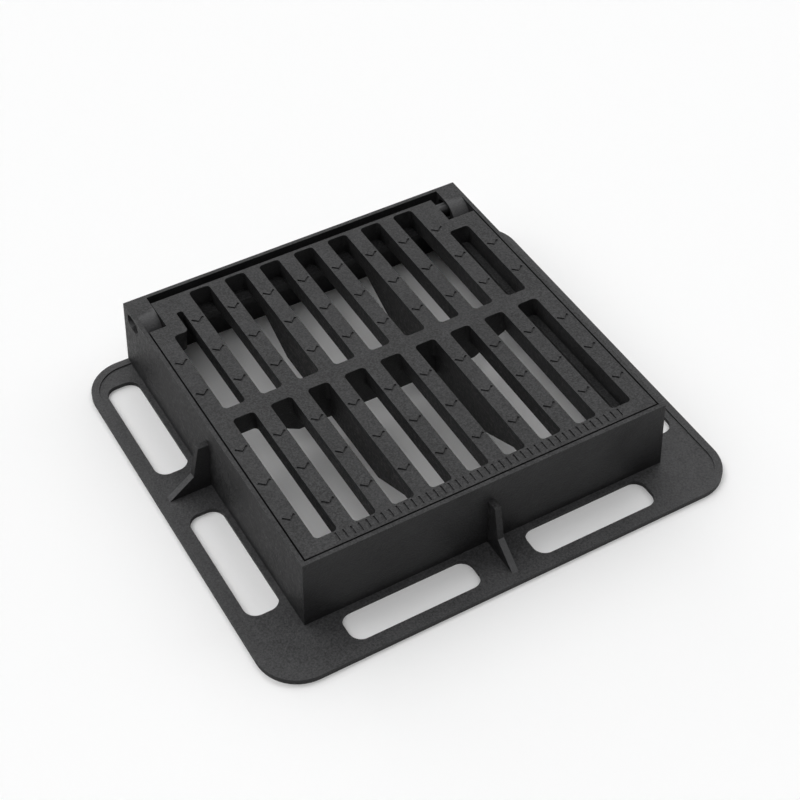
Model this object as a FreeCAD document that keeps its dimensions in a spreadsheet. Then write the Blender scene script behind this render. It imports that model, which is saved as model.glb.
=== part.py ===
import FreeCAD, Part
import math
import os
import re
import Sketcher

# Gully grate: a square cast frame with a bolting flange on three sides, and a barred grate
# that hangs in it on two cast pins and swings up from the front. Millimetres. X runs along
# the front, Y towards the hinge, Z up; the origin is under the middle of the whole casting.

SIZES = {
    "box_width": 460.0,
    "box_depth": 460.0,
    "frame_height": 100.0,
    "wall": 5.0,
    "wall_lean": 2.1,            # degrees, the outside spreads towards the base
    "flange_reach": 69.0,
    "flange_thick": 5.5,
    "flange_corner": 50.0,
    "lip_width": 9.5,
    "lip_height": 1.5,
    # Slots for the anchor bolts, two in each flange
    "slot_length": 162.0,
    "slot_width": 41.0,
    "slot_corner": 15.0,
    "slot_pitch": 233.0,
    "slot_offset": 30.5,
    # Gussets, one in the middle of each flanged wall
    "gusset_thick": 8.0,
    "gusset_drop": 28.0,
    "gusset_head": 14.5,
    "gusset_knee_drop": 70.0,
    "gusset_knee_reach": 23.5,
    "gusset_foot_reach": 55.5,
    # Seat that carries the grate
    "seat_width": 30.0,
    "seat_thick": 12.0,
    "seat_corner": 8.0,
    "seat_back_drop": 3.0,       # room for the grate's heel as it turns
    # Hinge lugs and their oblong eyes
    "lug_width": 23.0,
    "lug_depth": 50.0,
    "lug_round": 30.0,
    "hinge_inset": 21.0,
    "hinge_drop": 14.0,
    "eye_length": 30.0,
    "eye_height": 19.0,
    "eye_blind": 25.0,
    # Grate: plate and clearances
    "bar_depth": 28.0,
    "rim_gap": 2.0,
    "back_gap": 12.0,
    "edge_draft": 1.0,           # degrees, outer edges, ends of openings and cross rib
    "lug_clear": 0.6,
    "unhook_gap": 15.0,
    "swing_clear": 7.0,
    # Grate: openings between the bars
    "opening_count": 9.0,
    "opening_width": 27.0,
    "opening_corner": 5.0,
    "opening_draft": 5.0,        # degrees, long sides
    "bar_pitch": 47.0,
    "front_bar": 18.3,
    "cross_bar": 19.0,
    "cross_place": 225.3,
    "back_bar": 4.3,
    "block_depth": 65.0,
    "relief_end": 30.0,
    "relief_corner": 3.0,
    "boss_width": 19.0,
    # Grate: deep ribs under the bars
    "rib_depth": 60.0,
    "rib_draft": 2.3,            # degrees
    "rib_flat": 223.0,
    "rib_run": 61.5,
    "cross_rib_flat": 238.0,
    "cross_rib_run": 54.0,
    # Hinge pins of the grate
    "pin_clear": 1.25,
    "pin_hold": 11.0,
    "unhook_shift": 13.0,
    "pin_chamfer": 1.0,
    # Anti-slip marks in the top of the bars
    "mark_width": 16.5,
    "mark_slope": 43.0,          # degrees
    "mark_stroke": 2.7,
    "mark_depth": 1.5,
    "mark_pitch": 56.3,
    "mark_rows": 3.0,
    "front_mark": 33.8,
    "back_mark": 29.3,
    "dash_count": 40.0,
    "dash_pitch": 9.2,
    "dash_width": 2.0,
    "dash_length": 12.0,
    "dash_inset": 10.0,
}

# Places that several features share, as expressions of the sizes above

# Frame
SPREAD = "(frame_height * tan(wall_lean))"
SIDE = "(box_width / 2)"
FRONT = f"((flange_reach - box_depth - {SPREAD}) / 2)"
BACK = f"({FRONT} + box_depth)"
MIDDLE = f"({FRONT} + box_depth / 2)"
BRIM = f"({SIDE} + flange_reach)"
BRIM_FRONT = f"({FRONT} - flange_reach)"
BRIM_BACK = f"({BACK} + {SPREAD})"
WELL = f"({SIDE} - wall)"
WELL_FRONT = f"({FRONT} + wall)"
WELL_BACK = f"({BACK} - wall)"
SEAT = "(frame_height - bar_depth)"
SEAT_UNDER = f"({SEAT} - seat_thick)"
LUG_FACE = f"({WELL} - lug_width)"
LUG_FRONT = f"({WELL_BACK} - lug_depth)"

# Hinge axis
AXIS_Y = f"({WELL_BACK} - hinge_inset)"
AXIS_Z = "(frame_height - hinge_drop)"
PIN_RADIUS = "(eye_height / 2 - pin_clear)"

# Grate
EDGE = f"({WELL} - rim_gap)"
EDGE_FRONT = f"({WELL_FRONT} + rim_gap)"
EDGE_BACK = f"({WELL_BACK} - back_gap)"
NOTCH = f"({LUG_FRONT} - swing_clear)"
BLOCK_LEFT = f"(-{LUG_FACE} + lug_clear)"
BLOCK_RIGHT = f"({LUG_FACE} - unhook_gap)"
FIRST = "(-(opening_count - 1) / 2 * bar_pitch)"
ROW_FRONT = f"({EDGE_FRONT} + front_bar)"
CROSS = f"({EDGE_FRONT} + cross_place)"
CROSS_FRONT = f"({CROSS} - cross_bar / 2)"
CROSS_BACK = f"({CROSS} + cross_bar / 2)"
ROW_BACK = f"({EDGE_BACK} - back_bar)"
BLOCK_FRONT = f"({EDGE_BACK} - block_depth)"
SIDE_GROWTH = "(bar_depth * tan(opening_draft))"
END_GROWTH = "(bar_depth * tan(edge_draft))"
RIB_FOOT = "(frame_height - rib_depth)"
RIB_MIDDLE = f"(({EDGE_FRONT} + {EDGE_BACK}) / 2)"

doc = FreeCAD.newDocument("GullyGrate")
sheet = doc.addObject("Spreadsheet::Sheet", "Sizes")
for row, (name, size) in enumerate(SIZES.items(), 1):
    sheet.set(f"A{row}", name)
    sheet.set(f"B{row}", str(size))
    sheet.setAlias(f"B{row}", name)
doc.recompute()


def sized(text):
    """Point every size name in an expression at its cell in the sheet."""
    return re.sub(r"[a-z_]+", lambda word: f"Sizes.{word[0]}" if word[0] in SIZES else word[0], text)


def value(text):
    """The number that an expression gives now."""
    return float(sheet.evalExpression(sized(text)))


def plane(body, role):
    return next(item for item in body.Origin.OriginFeatures if item.Role == role)


def sketch_on(body, name, role, height="0"):
    """Start a sketch on one of the body's own planes, moved along that plane's normal."""
    sketch = body.newObject("Sketcher::SketchObject", name)
    sketch.AttachmentSupport = [(plane(body, role), "")]
    sketch.MapMode = "FlatFace"
    sketch.setExpression("AttachmentOffset.Base.z", sized(height))
    return sketch


def fix(sketch, kind, *parts):
    """Add a constraint whose last part is an expression, and bind it to the sheet."""
    index = sketch.addConstraint(Sketcher.Constraint(kind, *parts[:-1], value(parts[-1])))
    sketch.setExpression(f"Constraints[{index}]", sized(parts[-1]))


def place(sketch, item, end, across, up):
    fix(sketch, "DistanceX", -1, 1, item, end, across)
    fix(sketch, "DistanceY", -1, 1, item, end, up)


def outline(sketch, corners):
    """Draw a closed outline. Each corner is (across, up) or (across, up, radius)."""
    points = [FreeCAD.Vector(value(corner[0]), value(corner[1]), 0) for corner in corners]
    starts, ends, arcs = [], [], []
    for i, corner in enumerate(corners):
        back = (points[i - 1] - points[i]).normalize()
        ahead = (points[(i + 1) % len(points)] - points[i]).normalize()
        if len(corner) < 3:
            ends.append(points[i])
            starts.append(points[i])
            arcs.append(None)
            continue
        radius = value(corner[2])
        half = back.getAngle(ahead) / 2
        ends.append(points[i] + back * (radius / math.tan(half)))
        starts.append(points[i] + ahead * (radius / math.tan(half)))
        centre = points[i] + (back + ahead).normalize() * (radius / math.sin(half))
        left_turn = back.cross(ahead).z < 0
        first, last = (ends[i], starts[i]) if left_turn else (starts[i], ends[i])
        angles = [math.atan2(p.y - centre.y, p.x - centre.x) for p in (first, last)]
        circle = Part.Circle(centre, FreeCAD.Vector(0, 0, 1), radius)
        arcs.append((Part.ArcOfCircle(circle, *angles), 1 if left_turn else 2))

    count = len(corners)
    lines = [
        sketch.addGeometry(Part.LineSegment(starts[i], ends[(i + 1) % count])) for i in range(count)
    ]
    for i, corner in enumerate(corners):
        before, after = lines[i - 1], lines[i]
        if arcs[i] is None:
            sketch.addConstraint(Sketcher.Constraint("Coincident", before, 2, after, 1))
            place(sketch, after, 1, corner[0], corner[1])
            continue
        tip = sketch.addGeometry(Part.Point(points[i]), True)
        sketch.addConstraint(Sketcher.Constraint("PointOnObject", tip, 1, before))
        sketch.addConstraint(Sketcher.Constraint("PointOnObject", tip, 1, after))
        place(sketch, tip, 1, corner[0], corner[1])
        arc, entry = sketch.addGeometry(arcs[i][0]), arcs[i][1]
        sketch.addConstraint(Sketcher.Constraint("Tangent", before, 2, arc, entry))
        sketch.addConstraint(Sketcher.Constraint("Tangent", arc, 3 - entry, after, 1))
        fix(sketch, "Radius", arc, corner[2])


def rectangle(sketch, left, right, near, far, *radius):
    corners = [(left, near), (right, near), (right, far), (left, far)]
    outline(sketch, [corner + radius for corner in corners])


def slot(sketch, across, up, size_across, size_up):
    """A bolt slot with round corners, centred at (across, up)."""
    rectangle(
        sketch,
        f"{across} - {size_across} / 2",
        f"{across} + {size_across} / 2",
        f"{up} - {size_up} / 2",
        f"{up} + {size_up} / 2",
        "slot_corner",
    )


def oblong(sketch, across, up, length, height):
    """A hole with straight sides and round ends, lying along the sketch's first direction."""
    x, y, radius = value(across), value(up), value(f"{height} / 2")
    reach = value(f"({length} - {height}) / 2")
    ends = []
    for side, turn in ((1, -math.pi / 2), (-1, math.pi / 2)):
        circle = Part.Circle(FreeCAD.Vector(x + side * reach, y, 0), FreeCAD.Vector(0, 0, 1), radius)
        ends.append(sketch.addGeometry(Part.ArcOfCircle(circle, turn, turn + math.pi)))
    for start, end in ((ends[0], ends[1]), (ends[1], ends[0])):
        first = sketch.getPoint(start, 2)
        last = sketch.getPoint(end, 1)
        line = sketch.addGeometry(Part.LineSegment(first, last))
        sketch.addConstraint(Sketcher.Constraint("Tangent", start, 2, line, 1))
        sketch.addConstraint(Sketcher.Constraint("Tangent", line, 2, end, 1))
    sketch.addConstraint(Sketcher.Constraint("Equal", ends[0], ends[1]))
    fix(sketch, "Radius", ends[0], f"{height} / 2")
    place(sketch, ends[0], 3, f"{across} + ({length} - {height}) / 2", up)
    place(sketch, ends[1], 3, f"{across} - ({length} - {height}) / 2", up)


def disc(sketch, across, up, radius):
    centre = FreeCAD.Vector(value(across), value(up), 0)
    circle = sketch.addGeometry(Part.Circle(centre, FreeCAD.Vector(0, 0, 1), value(radius)))
    place(sketch, circle, 3, across, up)
    fix(sketch, "Radius", circle, radius)


def chevron(sketch, across, up):
    """One V mark with square ends, its tip at (across, up) and pointing to the front."""
    rise = f"{up} + mark_width / 2 * tan(mark_slope)"
    end_in = "mark_stroke * sin(mark_slope)"
    end_up = f"{rise} + mark_stroke * cos(mark_slope)"
    outline(sketch, [
        (across, up),
        (f"{across} + mark_width / 2", rise),
        (f"{across} + mark_width / 2 - {end_in}", end_up),
        (across, f"{up} + mark_stroke / cos(mark_slope)"),
        (f"{across} - mark_width / 2 + {end_in}", end_up),
        (f"{across} - mark_width / 2", rise),
    ])


def finish(body, feature, volume, gains):
    """Build a feature and make sure that it added or removed metal."""
    body.Tip = feature
    doc.recompute()
    change = body.Shape.Volume - volume
    if feature.State and ("Invalid" in feature.State or "Error" in feature.State):
        raise RuntimeError(f"{feature.Label} did not build")
    if (change <= 0) if gains else (change >= 0):
        raise RuntimeError(f"{feature.Label} changed nothing: {change:.1f} cubic mm")
    return feature


def volume_of(body):
    return body.Shape.Volume if body.Tip is not None and not body.Shape.isNull() else 0.0


def extrude(body, kind, name, sketch, length, reverse=False, both=False, draft=None, refine=True):
    volume = volume_of(body)
    feature = body.newObject(f"PartDesign::{kind}", name)
    feature.Profile = sketch
    feature.Refine = refine
    if length is None:
        feature.Type = "ThroughAll"
    else:
        feature.setExpression("Length", sized(length))
    feature.SideType = "Symmetric" if both else "One side"
    feature.Reversed = reverse
    if draft:
        feature.setExpression("TaperAngle", sized(draft))
    return finish(body, feature, volume, kind == "Pad")


def pad(body, name, sketch, length, **ways):
    return extrude(body, "Pad", name, sketch, length, **ways)


def pocket(body, name, sketch, length=None, **ways):
    return extrude(body, "Pocket", name, sketch, length, **ways)


def loft(body, kind, name, lower, upper):
    volume = volume_of(body)
    feature = body.newObject(f"PartDesign::{kind}", name)
    feature.Profile = lower
    feature.Sections = [upper]
    feature.Ruled = True
    return finish(body, feature, volume, kind == "AdditiveLoft")


def mirror(body, name, feature, gains=False):
    """Repeat a feature on the other side of the grate's middle."""
    volume = volume_of(body)
    mirrored = body.newObject("PartDesign::Mirrored", name)
    mirrored.Originals = [feature]
    mirrored.MirrorPlane = (plane(body, "YZ_Plane"), [""])
    return finish(body, mirrored, volume, gains)


def line_of(body, name, axis, pitch, count):
    """A row of repeats along one of the body's axes."""
    pattern = body.newObject("PartDesign::LinearPattern", name)
    pattern.Direction = (plane(body, axis), [""])
    pattern.Mode = "Spacing"
    pattern.setExpression("Offset", sized(pitch))
    pattern.setExpression("Occurrences", sized(count))
    return pattern


def repeat(body, name, feature, pitch, count):
    """Repeat a cut along the front."""
    volume = volume_of(body)
    pattern = line_of(body, name, "X_Axis", pitch, count)
    pattern.Originals = [feature]
    pattern.Refine = feature.Refine
    return finish(body, pattern, volume, False)


def repeat_grid(body, name, feature, across, along):
    """Repeat a cut in rows and columns; across and along are (pitch, count) in X and Y."""
    volume = volume_of(body)
    grid = body.newObject("PartDesign::MultiTransform", name)
    grid.Originals = [feature]
    grid.Refine = feature.Refine
    grid.Transformations = [
        line_of(body, f"{name}Across", "X_Axis", *across),
        line_of(body, f"{name}Along", "Y_Axis", *along),
    ]
    return finish(body, grid, volume, False)


def new_body(name):
    body = doc.addObject("PartDesign::Body", name)
    body.Label = name
    return body


# Frame: flange, leaning walls, seat, lugs and gussets in one casting

def frame_flange(body):
    plan = sketch_on(body, "FlangePlan", "XY_Plane")
    rectangle(plan, f"-{BRIM}", BRIM, BRIM_FRONT, BRIM_BACK, "flange_corner")
    pad(body, "Flange", plan, "flange_thick")


def frame_walls(body):
    base = sketch_on(body, "WallsBase", "XY_Plane")
    rectangle(base, f"-{SIDE} - {SPREAD}", f"{SIDE} + {SPREAD}", f"{FRONT} - {SPREAD}", BRIM_BACK)
    rim = sketch_on(body, "WallsRim", "XY_Plane", "frame_height")
    rectangle(rim, f"-{SIDE}", SIDE, FRONT, BACK)
    loft(body, "AdditiveLoft", "Walls", base, rim)

    well = sketch_on(body, "WellPlan", "XY_Plane", "frame_height")
    rectangle(well, f"-{WELL}", WELL, WELL_FRONT, WELL_BACK)
    pocket(body, "Well", well, "bar_depth")
    # Below the seat the inside is upright, so the wall is thicker at its foot
    chamber = sketch_on(body, "ChamberPlan", "XY_Plane", SEAT_UNDER)
    rectangle(chamber, f"-{WELL}", WELL, WELL_FRONT, WELL_BACK)
    pocket(body, "Chamber", chamber, SEAT_UNDER)


def frame_seat(body):
    hole = sketch_on(body, "SeatHolePlan", "XY_Plane", SEAT)
    side = f"({WELL} - seat_width)"
    rectangle(
        hole,
        f"-{side}",
        side,
        f"{WELL_FRONT} + seat_width",
        f"{WELL_BACK} - seat_width",
        "seat_corner",
    )
    pocket(body, "SeatHole", hole, "seat_thick")
    heel = sketch_on(body, "HeelRoomPlan", "XY_Plane", SEAT)
    rectangle(heel, f"-{WELL}", WELL, f"{WELL_BACK} - seat_width", WELL_BACK)
    pocket(body, "HeelRoom", heel, "seat_back_drop")


def frame_slots(body):
    plan = sketch_on(body, "BoltSlotsPlan", "XY_Plane", "flange_thick")
    slot(plan, "slot_pitch / 2", f"({FRONT} - slot_offset)", "slot_length", "slot_width")
    for side in ("-", "+"):
        slot(
            plan,
            f"({SIDE} + slot_offset)",
            f"({MIDDLE} {side} slot_pitch / 2)",
            "slot_width",
            "slot_length",
        )
    slots = pocket(body, "BoltSlots", plan, "flange_thick")
    mirror(body, "BoltSlotsLeft", slots)


def frame_lip(body):
    """The raised edge that runs round the flange and ends at the back of the side walls."""
    inner = f"({BRIM} - lip_width)"
    inner_front = f"({BRIM_FRONT} + lip_width)"
    inner_back = f"({BRIM_BACK} - lip_width)"
    inner_corner = "flange_corner - lip_width"
    plan = sketch_on(body, "LipPlan", "XY_Plane", "flange_thick")
    outline(plan, [
        (f"-{SIDE}", BRIM_BACK),
        (f"-{BRIM}", BRIM_BACK, "flange_corner"),
        (f"-{BRIM}", BRIM_FRONT, "flange_corner"),
        (BRIM, BRIM_FRONT, "flange_corner"),
        (BRIM, BRIM_BACK, "flange_corner"),
        (SIDE, BRIM_BACK),
        (SIDE, inner_back),
        (inner, inner_back, inner_corner),
        (inner, inner_front, inner_corner),
        (f"-{inner}", inner_front, inner_corner),
        (f"-{inner}", inner_back, inner_corner),
        (f"-{SIDE}", inner_back),
    ])
    pad(body, "Lip", plan, "lip_height")


def gusset_side(wall_face):
    """Side view of a gusset: flat head, steep web, then a long foot on the flange."""
    head = "(frame_height - gusset_drop)"
    knee = "(frame_height - gusset_knee_drop)"
    return [
        (f"{wall_face} - wall / 2 + gusset_drop * tan(wall_lean)", head),
        (f"{wall_face} - wall / 2 + {SPREAD}", "flange_thick / 2"),
        (f"{wall_face} + gusset_foot_reach", "flange_thick / 2"),
        (f"{wall_face} + gusset_foot_reach", "flange_thick"),
        (f"{wall_face} + gusset_knee_reach", knee),
        (f"{wall_face} + gusset_head", head),
    ]


def frame_gussets(body):
    side = sketch_on(body, "GussetSideView", "XZ_Plane", f"-{MIDDLE}")
    outline(side, gusset_side(SIDE))
    mirror(body, "GussetLeft", pad(body, "GussetRight", side, "gusset_thick", both=True), gains=True)
    front = sketch_on(body, "GussetFrontView", "YZ_Plane")
    outline(front, [(f"-({across})", up) for across, up in gusset_side(f"(-{FRONT})")])
    pad(body, "GussetFront", front, "gusset_thick", both=True)


def frame_lugs(body):
    view = sketch_on(body, "LugView", "YZ_Plane", f"{WELL} + wall / 2")
    foot = f"({SEAT} - seat_thick / 2)"
    outline(view, [
        (f"{WELL_BACK} + wall / 2", foot),
        (f"{WELL_BACK} + wall / 2", "frame_height"),
        (LUG_FRONT, "frame_height", "lug_round"),
        (LUG_FRONT, foot),
    ])
    lug = pad(body, "LugRight", view, "lug_width + wall / 2", reverse=True)
    mirror(body, "LugLeft", lug, gains=True)

    blind = sketch_on(body, "EyeBlindView", "YZ_Plane", LUG_FACE)
    oblong(blind, AXIS_Y, AXIS_Z, "eye_length", "eye_height")
    pocket(body, "EyeRight", blind, "eye_blind", reverse=True)
    through = sketch_on(body, "EyeThroughView", "YZ_Plane", f"-{LUG_FACE}")
    oblong(through, AXIS_Y, AXIS_Z, "eye_length", "eye_height")
    pocket(body, "EyeLeft", through)


def make_frame():
    body = new_body("frame")
    frame_flange(body)
    frame_walls(body)
    frame_seat(body)
    frame_slots(body)
    frame_lip(body)
    frame_gussets(body)
    frame_lugs(body)
    return body


# Grate: drafted bars, deep ribs, hinge pins and anti-slip marks in one casting

def grate_plate(body):
    plan = sketch_on(body, "PlatePlan", "XY_Plane", "frame_height")
    outline(plan, [
        (f"-{EDGE}", EDGE_FRONT),
        (EDGE, EDGE_FRONT),
        (EDGE, NOTCH),
        (BLOCK_RIGHT, NOTCH),
        (BLOCK_RIGHT, EDGE_BACK),
        (BLOCK_LEFT, EDGE_BACK),
        (BLOCK_LEFT, NOTCH),
        (f"-{EDGE}", NOTCH),
    ])
    pad(body, "Plate", plan, "bar_depth", reverse=True, draft="-edge_draft")


def opening(body, name, corners):
    """An opening that is wider at the bottom. Each corner is (across, up, radius, ways), where
    ways says how it moves on the way down, like "-+" for left and back."""
    plans = []
    for part, height, growth in (("Foot", SEAT, 1), ("Top", "frame_height", 0)):
        side, end = f"{growth} * {SIDE_GROWTH}", f"{growth} * {END_GROWTH}"
        plan = sketch_on(body, f"{name}{part}", "XY_Plane", height)
        outline(plan, [
            (f"{across} {ways[0]} {side}", f"{up} {ways[1]} {end}", radius)
            for across, up, radius, ways in corners
        ])
        plans.append(plan)
    return loft(body, "SubtractiveLoft", name, *plans)


def opening_corners(across, near, far):
    left, right = f"{across} - opening_width / 2", f"{across} + opening_width / 2"
    corners = [(left, near, "--"), (right, near, "+-"), (right, far, "++"), (left, far, "-+")]
    return [(x, y, "opening_corner", ways) for x, y, ways in corners]


def grate_openings(body):
    front = opening(body, "FrontOpening", opening_corners(FIRST, ROW_FRONT, CROSS_FRONT))
    repeat(body, "FrontOpenings", front, "bar_pitch", "opening_count")
    second = opening(
        body, "BackOpening", opening_corners(f"{FIRST} + bar_pitch", CROSS_BACK, ROW_BACK)
    )
    repeat(body, "BackOpenings", second, "bar_pitch", "opening_count - 2")

    # Beside the hinge blocks the end openings stop short; the left one runs on as a relief
    last = f"(-{FIRST})"
    opening(body, "LastOpening", opening_corners(last, CROSS_BACK, BLOCK_FRONT))
    left, right = f"{FIRST} - opening_width / 2", f"{FIRST} + opening_width / 2"
    boss, relief = f"{BLOCK_LEFT} + boss_width", f"{EDGE_BACK} - relief_end"
    opening(body, "FirstOpening", [
        (left, CROSS_BACK, "opening_corner", "--"),
        (right, CROSS_BACK, "opening_corner", "+-"),
        (right, relief, "relief_corner", "++"),
        (boss, relief, "relief_corner", "-+"),
        (boss, BLOCK_FRONT, "opening_corner", "-+"),
        (left, BLOCK_FRONT, "opening_corner", "-+"),
    ])


def rib_ends(body, name, role, middle, flat, run):
    """Slope both ends of a deep rib up to the underside of the bars."""
    view = sketch_on(body, f"{name}View", role)
    for side in ("-", "+"):
        inner = f"{middle} {side} {flat} / 2"
        outer = f"{inner} {side} {run}"
        outline(view, [
            (outer, SEAT),
            (inner, RIB_FOOT),
            (inner, f"{RIB_FOOT} - wall"),
            (f"{outer} {side} wall", f"{RIB_FOOT} - wall"),
            (f"{outer} {side} wall", SEAT),
        ])
    pocket(body, name, view, "box_width + box_depth", both=True)


def grate_ribs(body):
    depth = "rib_depth - bar_depth"
    plan = sketch_on(body, "LongRibPlan", "XY_Plane", SEAT)
    centre, half = "bar_pitch * 1.5", f"((bar_pitch - opening_width) / 2 - {SIDE_GROWTH})"
    reach = "(rib_flat / 2 + rib_run)"
    rectangle(
        plan,
        f"{centre} - {half}",
        f"{centre} + {half}",
        f"{RIB_MIDDLE} - {reach}",
        f"{RIB_MIDDLE} + {reach}",
    )
    rib = pad(body, "LongRibRight", plan, depth, reverse=True, draft="-rib_draft")
    mirror(body, "LongRibLeft", rib, gains=True)
    rib_ends(body, "LongRibEnds", "YZ_Plane", RIB_MIDDLE, "rib_flat", "rib_run")

    cross = sketch_on(body, "CrossRibPlan", "XY_Plane", SEAT)
    half, reach = f"(cross_bar / 2 - {END_GROWTH})", "(cross_rib_flat / 2 + cross_rib_run)"
    rectangle(cross, f"-{reach}", reach, f"{CROSS} - {half}", f"{CROSS} + {half}")
    pad(body, "CrossRib", cross, depth, reverse=True, draft="-edge_draft")
    rib_ends(body, "CrossRibEnds", "XZ_Plane", "0", "cross_rib_flat", "cross_rib_run")


def grate_pins(body):
    """The left pin only enters its lug; the right one is long, so the grate can be slid off."""
    root = "pin_hold / 4"
    left = sketch_on(body, "PinLeftView", "YZ_Plane", f"{BLOCK_LEFT} + {root}")
    disc(left, AXIS_Y, AXIS_Z, PIN_RADIUS)
    reach = f"{root} + lug_clear + pin_hold"
    pad(body, "PinLeft", left, reach, reverse=True)
    right = sketch_on(body, "PinRightView", "YZ_Plane", f"{BLOCK_RIGHT} - {root}")
    disc(right, AXIS_Y, AXIS_Z, PIN_RADIUS)
    reach = f"{root} + unhook_gap + eye_blind - unhook_shift"
    pad(body, "PinRight", right, reach)

    solid, volume = body.Tip, body.Shape.Volume
    ends = [
        f"Edge{number}" for number, edge in enumerate(body.Shape.Edges, 1)
        if edge.Curve.TypeId == "Part::GeomCircle"
        and abs(edge.Curve.Axis.x) > 0.99
        and edge.isClosed()
        and abs(edge.Curve.Center.x) > value(LUG_FACE)
    ]
    chamfer = body.newObject("PartDesign::Chamfer", "PinEnds")
    chamfer.Base = (solid, ends)
    chamfer.setExpression("Size", sized("pin_chamfer"))
    finish(body, chamfer, volume, False)


def grate_mark(body, name, across, up):
    plan = sketch_on(body, f"{name}Plan", "XY_Plane", "frame_height")
    chevron(plan, across, up)
    return pocket(body, name, plan, "mark_depth", refine=False)


def grate_marks(body):
    """Chevrons on every bar; the last row leaves out the margins, where the lugs are."""
    margin, columns = f"({FIRST} - bar_pitch / 2)", ("bar_pitch", "opening_count + 1")
    front, back = f"({ROW_FRONT} + front_mark)", f"({CROSS_BACK} + back_mark)"
    mark = grate_mark(body, "FrontMark", margin, front)
    repeat_grid(body, "FrontMarks", mark, columns, ("mark_pitch", "mark_rows"))
    mark = grate_mark(body, "BackMark", margin, back)
    repeat_grid(body, "BackMarks", mark, columns, ("mark_pitch", "mark_rows - 1"))
    inner, last = f"({FIRST} + bar_pitch / 2)", f"{back} + (mark_rows - 1) * mark_pitch"
    mark = grate_mark(body, "LastMark", inner, last)
    repeat(body, "LastMarks", mark, "bar_pitch", "opening_count - 1")


def grate_dashes(body):
    """A row of short strokes along the front bar."""
    plan = sketch_on(body, "DashPlan", "XY_Plane", "frame_height")
    start, middle = "(-(dash_count - 1) / 2 * dash_pitch)", f"({EDGE_FRONT} + dash_inset)"
    rectangle(
        plan,
        f"{start} - dash_width / 2",
        f"{start} + dash_width / 2",
        f"{middle} - dash_length / 2",
        f"{middle} + dash_length / 2",
    )
    dash = pocket(body, "Dash", plan, "mark_depth", refine=False)
    repeat(body, "Dashes", dash, "dash_pitch", "dash_count")


def make_grate():
    body = new_body("grate")
    grate_plate(body)
    grate_openings(body)
    grate_ribs(body)
    grate_pins(body)
    grate_marks(body)
    grate_dashes(body)
    return body


bodies = [make_frame(), make_grate()]
doc.recompute()
for item in doc.Objects:
    if "Invalid" in item.State or "Error" in item.State:
        raise RuntimeError(f"{item.Label} is in state {item.State}")
for body in bodies:
    if body.Shape.isNull() or not body.Shape.isValid() or len(body.Shape.Solids) != 1:
        raise RuntimeError(f"{body.Label} is not one valid solid")

os.makedirs("parts", exist_ok=True)
for body in bodies:
    body.Shape.exportStep(f"parts/{body.Label}.step")
    box = body.Shape.BoundBox
    print(
        body.Label,
        f"X {box.XMin:.2f} {box.XMax:.2f}  Y {box.YMin:.2f} {box.YMax:.2f}",
        f"Z {box.ZMin:.2f} {box.ZMax:.2f}  volume {body.Shape.Volume / 1000:.0f} cc",
    )
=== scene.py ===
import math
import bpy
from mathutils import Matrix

bl_info = {
    "name": "Gully Grate",
    "version": (1, 0, 0),
    "blender": (4, 5, 0),
    "location": "3D View > Sidebar > Gully Grate",
    "description": "Finishes a cast-iron gully grate and stands it in a pale studio",
    "category": "Object",
}

import bpy
from bpy.props import FloatProperty, FloatVectorProperty, PointerProperty
from bpy.types import Operator, Panel, PropertyGroup
from mathutils import Vector

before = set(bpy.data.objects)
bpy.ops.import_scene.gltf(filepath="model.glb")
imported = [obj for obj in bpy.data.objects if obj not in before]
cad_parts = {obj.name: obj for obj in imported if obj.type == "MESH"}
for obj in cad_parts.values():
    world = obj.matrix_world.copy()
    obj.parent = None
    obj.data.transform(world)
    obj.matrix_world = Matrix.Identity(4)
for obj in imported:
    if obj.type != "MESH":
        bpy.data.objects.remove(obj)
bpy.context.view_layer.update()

# Soft lights round the studio: name; azimuth from +X, elevation and spread in degrees; strength
LAMPS = (
    ("front", 270, 68, 40, 0.20),
    ("front_left", 225, 68, 40, 0.50),
    ("left", 180, 45, 45, 0.32),
    ("back_left", 135, 45, 45, 0.80),
    ("back", 90, 45, 45, 0.30),
    ("low_back", 90, 20, 40, 0.55),
    ("high_back", 90, 68, 40, 0.10),
    ("back_right", 45, 45, 45, 0.78),
    ("right", 0, 45, 45, 0.42),
    ("low_right", 0, 20, 40, 0.20),
)

# Sizes of the finer and coarser grain, and the finer grain's height, as shares of the grain's own
FINE_GRAIN_SIZE = 0.4
COARSE_GRAIN_SIZE = 2.0
FINE_RELIEF = 0.5

# The pale film, from 0 on the bare coating to 1 where only dust shows. The same film also lays
# painted highlight on slopes and painted light on the flange, and is taken off the walls as painted
# shade
FILM_EVERYWHERE = 0.14
FILM_IN_PATCHES = 0.10
# Painted highlight: film laid on sloping faces, such as the lug rounds, gusset feet and rounded
# edges, so they come out paler than level faces
HIGHLIGHT_ON_SLOPES = 0.72
# Painted light: film laid on the flange's level top, as if more light fell there
LIGHT_ON_FLANGE = 0.20
# How far the grain, the finer grain and the side walls' coarse grain speckle the film
GRAIN_SPECKLE = 1.05
FINE_SPECKLE = 0.40
COARSE_SPECKLE = 1.0
# Painted shade: walls come out darker than level faces because film is taken off them; the shares
# lost on the side and front walls
SIDE_PAINTED_SHADE = 0.45
FRONT_PAINTED_SHADE = 0.35
# Painted shade: this share of the front wall's speckle is gone, so its grain shows as faintly as on
# a wall in shade
FRONT_SHADE_SPECKLE_LOSS = 0.55

# How squarely a face looks up, from 0 for a wall to 1 for a level face: a slope begins between
# the first two and has become a level face between the last two
SLOPE_FROM_WALL = (0.35, 0.70)
SLOPE_TO_LEVEL = (0.96, 0.995)
# Heights in metres between which the painted light on the flange fades out
FLANGE_LIGHT_TOP = (0.007, 0.020)
# Values of the patch noise between which a patch fades in
PATCH_EDGE = (0.35, 0.70)

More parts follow.
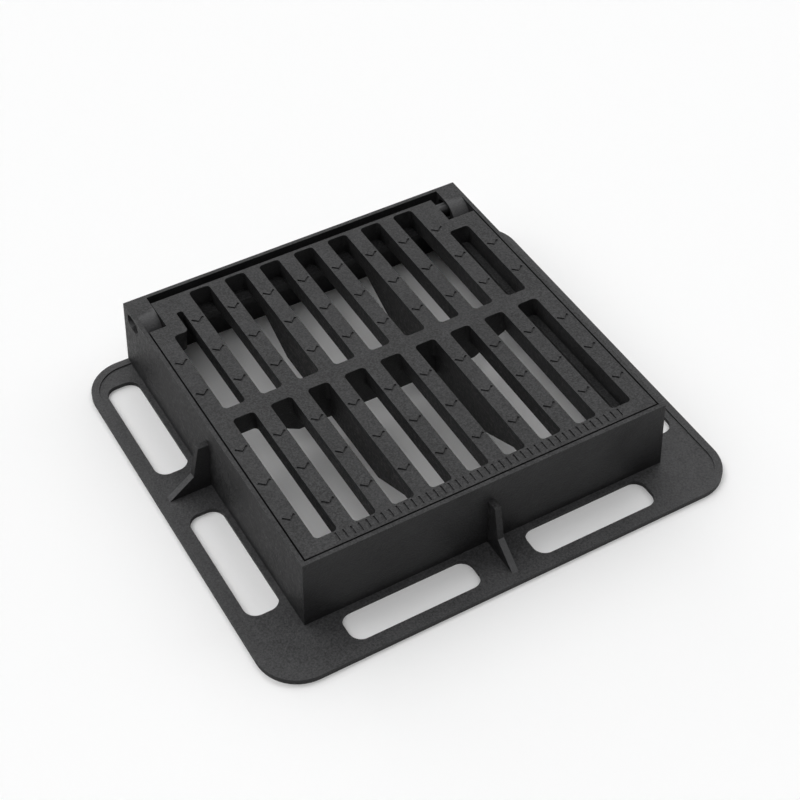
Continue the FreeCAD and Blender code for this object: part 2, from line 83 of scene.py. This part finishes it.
# How far patches, grain and the side walls' coarse grain move the roughness
PATCH_ROUGHNESS = 0.12
GRAIN_ROUGHNESS = 0.15
SIDE_ROUGHNESS = 0.70
# The coarse noise value at which a side wall is as rough as the rest
SIDE_ROUGHNESS_START = 0.38
# The patches stand out this many times as far as the grain
PATCH_SWELL = 4.0
# How much a face mirrors when it is seen square on; a plain paint has 0.5
COATING_REFLECTION = 0.28

# The studio floor's wide patches: their size, how far they show and how dark they are at most
FLOOR_PATCH_SIZE = 0.8
FLOOR_PATCH_SHARE = 0.1
FLOOR_PATCH_TONE = 0.97
# The floor is nearly free of shine
FLOOR_ROUGHNESS = 0.9
FLOOR_REFLECTION = 0.1

WHITE = (1.0, 1.0, 1.0)

# Corners of the loaded mesh that are nearer than this are one corner
WELD_DISTANCE = 0.00001


class CastingSettings(PropertyGroup):
    """Sizes and colours of the coated casting."""

    coating: FloatVectorProperty(
        name="Coating",
        description="Colour of the black coating",
        subtype="COLOR",
        min=0.0,
        max=1.0,
        default=(0.009, 0.009, 0.0095),
    )
    # Painted light: this dust colour is also the colour of the painted highlight on slopes and
    # rounded edges and of the painted light on the flange
    dust_and_painted_light: FloatVectorProperty(
        name="Dust",
        description="Colour of the pale film on worn edges and in the grain",
        subtype="COLOR",
        min=0.0,
        max=1.0,
        default=(0.099, 0.099, 0.102),
    )
    edge_radius: FloatProperty(
        name="Edge radius",
        description="Rounding of the cast edges",
        subtype="DISTANCE",
        default=0.0009,
        min=0.0,
    )
    edge_angle: FloatProperty(
        name="Edge angle",
        description="Edges that turn by more than this are rounded",
        subtype="ANGLE",
        default=math.radians(28.0),
        min=0.0,
    )
    grain_size: FloatProperty(
        name="Grain size",
        description="Size of the sand-cast grain",
        subtype="DISTANCE",
        default=0.0024,
        min=0.0001,
    )
    grain_height: FloatProperty(
        name="Grain height",
        description="How far the grain stands out",
        subtype="DISTANCE",
        default=0.00050,
        min=0.0,
    )
    patch_size: FloatProperty(
        name="Patch size",
        description="Size of the uneven patches in the coating",
        subtype="DISTANCE",
        default=0.045,
        min=0.001,
    )
    roughness: FloatProperty(
        name="Roughness",
        description="Roughness of the coating",
        subtype="FACTOR",
        default=0.52,
        min=0.0,
        max=1.0,
    )


class StageSettings(PropertyGroup):
    """Sizes and colours of the floor, the sky and the camera."""

    floor_colour: FloatVectorProperty(
        name="Floor",
        description="Colour of the studio floor",
        subtype="COLOR",
        min=0.0,
        max=1.0,
        default=(0.955, 0.955, 0.955),
    )
    floor_size: FloatProperty(
        name="Floor size",
        description="Side of the square studio floor",
        subtype="DISTANCE",
        default=80.0,
        min=1.0,
    )
    sky: FloatProperty(
        name="Sky",
        description="Strength of the even light from all round",
        default=0.12,
        min=0.0,
    )
    camera_place: FloatVectorProperty(
        name="Camera place",
        description="Where the camera stands",
        subtype="TRANSLATION",
        default=(-0.6767, -1.1718, 1.4510),
    )
    camera_target: FloatVectorProperty(
        name="Camera target",
        description="The point that the camera looks at",
        subtype="TRANSLATION",
        default=(-0.0240, -0.0413, 0.1000),
    )
    field_of_view: FloatProperty(
        name="Field of view",
        description="Angle across the square picture",
        subtype="ANGLE",
        default=math.radians(26.96),
    )


class Signal:
    """A shader output that adds its own Math nodes when sums are written with it."""

    def __init__(self, shader, socket):
        self.shader = shader
        self.socket = socket

    def math(self, operation, *values):
        node = self.shader.node("ShaderNodeMath", {"operation": operation}, dict(enumerate(values)))
        return Signal(self.shader, node.outputs[0])

    def __add__(self, other):
        return self.math("ADD", self, other)

    __radd__ = __add__

    def __sub__(self, other):
        return self.math("SUBTRACT", self, other)

    def __rsub__(self, other):
        return self.math("SUBTRACT", other, self)

    def __mul__(self, other):
        return self.math("MULTIPLY", self, other)

    __rmul__ = __mul__

    def clamp(self):
        node = self.shader.node("ShaderNodeClamp", {}, {"Value": self})
        return Signal(self.shader, node.outputs[0])

    def swing(self, width):
        """A noise of mean 0.5 moved to swing about zero."""
        return (self - 0.5) * width

    def between(self, low, high):
        """0 below low, 1 above high and a smooth rise between."""
        node = self.shader.node(
            "ShaderNodeMapRange",
            {"interpolation_type": "SMOOTHSTEP"},
            {"Value": self, "From Min": low, "From Max": high},
        )
        return Signal(self.shader, node.outputs[0])


class Shader:
    """Builds one material's nodes around its Principled shader."""

    # A Mix node has sockets of one name for each kind of value; these are the colours'
    MIX_FIRST, MIX_SECOND, MIX_RESULT = 6, 7, 2

    def __init__(self, name):
        self.material = bpy.data.materials.new(name)
        self.material.use_nodes = True
        self.tree = self.material.node_tree
        self.surface = self.tree.nodes["Principled BSDF"]
        self.place = self.signal("ShaderNodeTexCoord", {}, {}, "Object")

    def node(self, kind, settings, inputs):
        """Add a node: its settings first, then the values or links of its sockets."""
        node = self.tree.nodes.new(kind)
        for name, setting in settings.items():
            setattr(node, name, setting)
        for name, value in inputs.items():
            self.feed(node.inputs[name], value)
        return node

    def signal(self, kind, settings, inputs, output=0):
        """One output of a new node."""
        return Signal(self, self.node(kind, settings, inputs).outputs[output])

    def feed(self, socket, value):
        """Link a signal to a socket, or set the socket to a value."""
        if isinstance(value, Signal):
            self.tree.links.new(value.socket, socket)
        else:
            socket.default_value = value

    def noise(self, size, detail=2.0, roughness=0.5):
        """Noise whose features are about size metres across."""
        inputs = {
            "Vector": self.place,
            "Scale": 1.0 / size,
            "Detail": detail,
            "Roughness": roughness,
        }
        return self.signal("ShaderNodeTexNoise", {}, inputs, "Fac")

    def parts(self, vector):
        """The X, Y and Z of a vector."""
        node = self.node("ShaderNodeSeparateXYZ", {}, {"Vector": vector})
        return [Signal(self, part) for part in node.outputs]

    def height(self):
        """Height over the piece's own origin."""
        return self.parts(self.place)[2]

    def facing(self):
        """How squarely the surface faces along the piece's own X, Y and Z."""
        normal = self.signal("ShaderNodeTexCoord", {}, {}, "Normal")
        return [part.math("ABSOLUTE", part) for part in self.parts(normal)]

    def mix(self, factor, first, second):
        """The first colour where factor is 0 and the second where it is 1."""
        inputs = {"Factor": factor, self.MIX_FIRST: first, self.MIX_SECOND: second}
        return self.signal("ShaderNodeMix", {"data_type": "RGBA"}, inputs, self.MIX_RESULT)

    def bump(self, height, distance, normal=None):
        """Relief up to distance metres high, on top of another relief if one is given."""
        inputs = {"Height": height, "Distance": distance, "Strength": 1.0}
        if normal is not None:
            inputs["Normal"] = normal
        return self.signal("ShaderNodeBump", {}, inputs, "Normal")


def opaque(colour):
    """A colour with the alpha that a socket asks for."""
    return (*colour, 1.0)


def coated_iron(name):
    """Matt black coating over a sand casting.

    It has fine grain, faint patches and pale specks. Slopes get a painted highlight, the flange's
    level top gets painted light, and the walls get painted shade, the front wall with weaker
    speckle.
    """
    casting = bpy.context.scene.casting
    shader = Shader(name)
    grain = shader.noise(casting.grain_size, roughness=0.6)
    fine = shader.noise(casting.grain_size * FINE_GRAIN_SIZE, detail=1.0)
    patch = shader.noise(casting.patch_size, detail=3.0)
    coarse = shader.noise(casting.grain_size * COARSE_GRAIN_SIZE)
    side, front, up = shader.facing()

    # Painted highlight on sloping faces, paler than level faces and walls
    slope = up.between(*SLOPE_FROM_WALL) * (1.0 - up.between(*SLOPE_TO_LEVEL))
    # Painted light on the low level faces of the flange
    low = up * (1.0 - shader.height().between(*FLANGE_LIGHT_TOP))
    speckle = grain.swing(GRAIN_SPECKLE) + fine.swing(FINE_SPECKLE)
    # Painted shade: the speckle is weaker on the front wall
    film_and_painted_light = speckle * (1.0 - front * FRONT_SHADE_SPECKLE_LOSS) + FILM_EVERYWHERE
    film_and_painted_light = film_and_painted_light + patch.between(*PATCH_EDGE) * FILM_IN_PATCHES
    film_and_painted_light = film_and_painted_light + slope * HIGHLIGHT_ON_SLOPES + low * LIGHT_ON_FLANGE
    film_and_painted_light = film_and_painted_light + coarse.swing(COARSE_SPECKLE) * side
    # Painted shade: the side and front walls lose film and come out darker
    film_and_painted_light = film_and_painted_light * (1.0 - side * SIDE_PAINTED_SHADE - front * FRONT_PAINTED_SHADE)
    # The dust colour shows where the film is high: real dust and grain, and painted highlight and
    # painted light
    colour = shader.mix(film_and_painted_light.clamp(), opaque(casting.coating), opaque(casting.dust_and_painted_light))

    gloss = patch.swing(PATCH_ROUGHNESS) + grain.swing(GRAIN_ROUGHNESS) + casting.roughness
    gloss = gloss + (coarse - SIDE_ROUGHNESS_START) * side * SIDE_ROUGHNESS
    relief = shader.bump(grain + fine * FINE_RELIEF, casting.grain_height)
    swell = shader.bump(patch, casting.grain_height * PATCH_SWELL, relief)

    inputs = shader.surface.inputs
    shader.feed(inputs["Base Color"], colour)
    shader.feed(inputs["Specular IOR Level"], COATING_REFLECTION)
    shader.feed(inputs["Roughness"], gloss.clamp())
    shader.feed(inputs["Normal"], swell)
    return shader.material


def studio_floor(colour):
    """A matt, pale floor with faint, wide patches."""
    shader = Shader("studio_floor")
    tone = shader.noise(FLOOR_PATCH_SIZE) * FLOOR_PATCH_SHARE
    darker = [part * FLOOR_PATCH_TONE for part in colour]
    inputs = shader.surface.inputs
    shader.feed(inputs["Base Color"], shader.mix(tone, opaque(colour), opaque(darker)))
    shader.feed(inputs["Roughness"], FLOOR_ROUGHNESS)
    shader.feed(inputs["Specular IOR Level"], FLOOR_REFLECTION)
    return shader.material


def dress(node, material):
    """Give a casting its finish and round its edges."""
    casting = bpy.context.scene.casting
    node.data.materials.clear()
    node.data.materials.append(material)
    weld = node.modifiers.new("weld", "WELD")
    weld.merge_threshold = WELD_DISTANCE
    bevel = node.modifiers.new("cast_edges", "BEVEL")
    bevel.width = casting.edge_radius
    bevel.segments = 2
    bevel.limit_method = "ANGLE"
    bevel.angle_limit = casting.edge_angle


class GULLY_OT_frame(Operator):
    """Finish the flanged frame"""

    bl_idname = "gully.frame"
    bl_label = "Frame"

    def execute(self, context):
        dress(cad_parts["frame"], coated_iron("frame_coating"))
        return {"FINISHED"}


class GULLY_OT_grate(Operator):
    """Finish the hinged grate"""

    bl_idname = "gully.grate"
    bl_label = "Grate"

    def execute(self, context):
        dress(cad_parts["grate"], coated_iron("grate_coating"))
        return {"FINISHED"}


def soft_sun(name, azimuth, elevation, spread, strength):
    """A wide, soft light from far away; the angles are in degrees."""
    light = bpy.data.lights.new(name, "SUN")
    light.energy = strength
    light.angle = math.radians(spread)
    sun = bpy.data.objects.new(name, light)
    turn, rise = math.radians(azimuth), math.radians(elevation)
    level = math.cos(rise)
    towards = Vector((math.cos(turn) * level, math.sin(turn) * level, math.sin(rise)))
    sun.rotation_euler = towards.to_track_quat("Z", "Y").to_euler()
    bpy.context.scene.collection.objects.link(sun)


class GULLY_OT_stage(Operator):
    """Lay the floor and set the lamps and the camera"""

    bl_idname = "gully.stage"
    bl_label = "Stage"

    def execute(self, context):
        scene = context.scene
        stage = scene.stage
        bpy.ops.mesh.primitive_plane_add(size=stage.floor_size)
        floor = context.active_object
        floor.name = "floor"
        floor.data.materials.append(studio_floor(stage.floor_colour))

        world = bpy.data.worlds.new("studio")
        world.use_nodes = True
        background = world.node_tree.nodes["Background"]
        background.inputs["Color"].default_value = opaque(WHITE)
        background.inputs["Strength"].default_value = stage.sky
        scene.world = world
        for lamp in LAMPS:
            soft_sun(*lamp)

        camera = bpy.data.cameras.new("camera")
        camera.sensor_fit = "HORIZONTAL"
        camera.angle = stage.field_of_view
        view = bpy.data.objects.new("camera", camera)
        place, target = Vector(stage.camera_place), Vector(stage.camera_target)
        view.location = place
        view.rotation_euler = (target - place).to_track_quat("-Z", "Y").to_euler()
        scene.collection.objects.link(view)
        scene.camera = view
        scene.view_settings.view_transform = "Standard"
        return {"FINISHED"}


class GULLY_PT_panel(Panel):
    """The grate's settings and steps"""

    bl_label = "Gully Grate"
    bl_idname = "GULLY_PT_panel"
    bl_space_type = "VIEW_3D"
    bl_region_type = "UI"
    bl_category = "Gully Grate"

    def draw(self, context):
        for group in (context.scene.casting, context.scene.stage):
            box = self.layout.box()
            for name in group.__annotations__:
                box.prop(group, name)
        for step in STEPS:
            self.layout.operator(step.bl_idname)


STEPS = (GULLY_OT_frame, GULLY_OT_grate, GULLY_OT_stage)
CLASSES = (CastingSettings, StageSettings, *STEPS, GULLY_PT_panel)


def register():
    for item in CLASSES:
        bpy.utils.register_class(item)
    bpy.types.Scene.casting = PointerProperty(type=CastingSettings)
    bpy.types.Scene.stage = PointerProperty(type=StageSettings)


def unregister():
    del bpy.types.Scene.stage
    del bpy.types.Scene.casting
    for item in reversed(CLASSES):
        bpy.utils.unregister_class(item)


def main():
    register()
    bpy.ops.gully.frame()
    bpy.ops.gully.grate()
    bpy.ops.gully.stage()


if __name__ == "__main__":
    main()
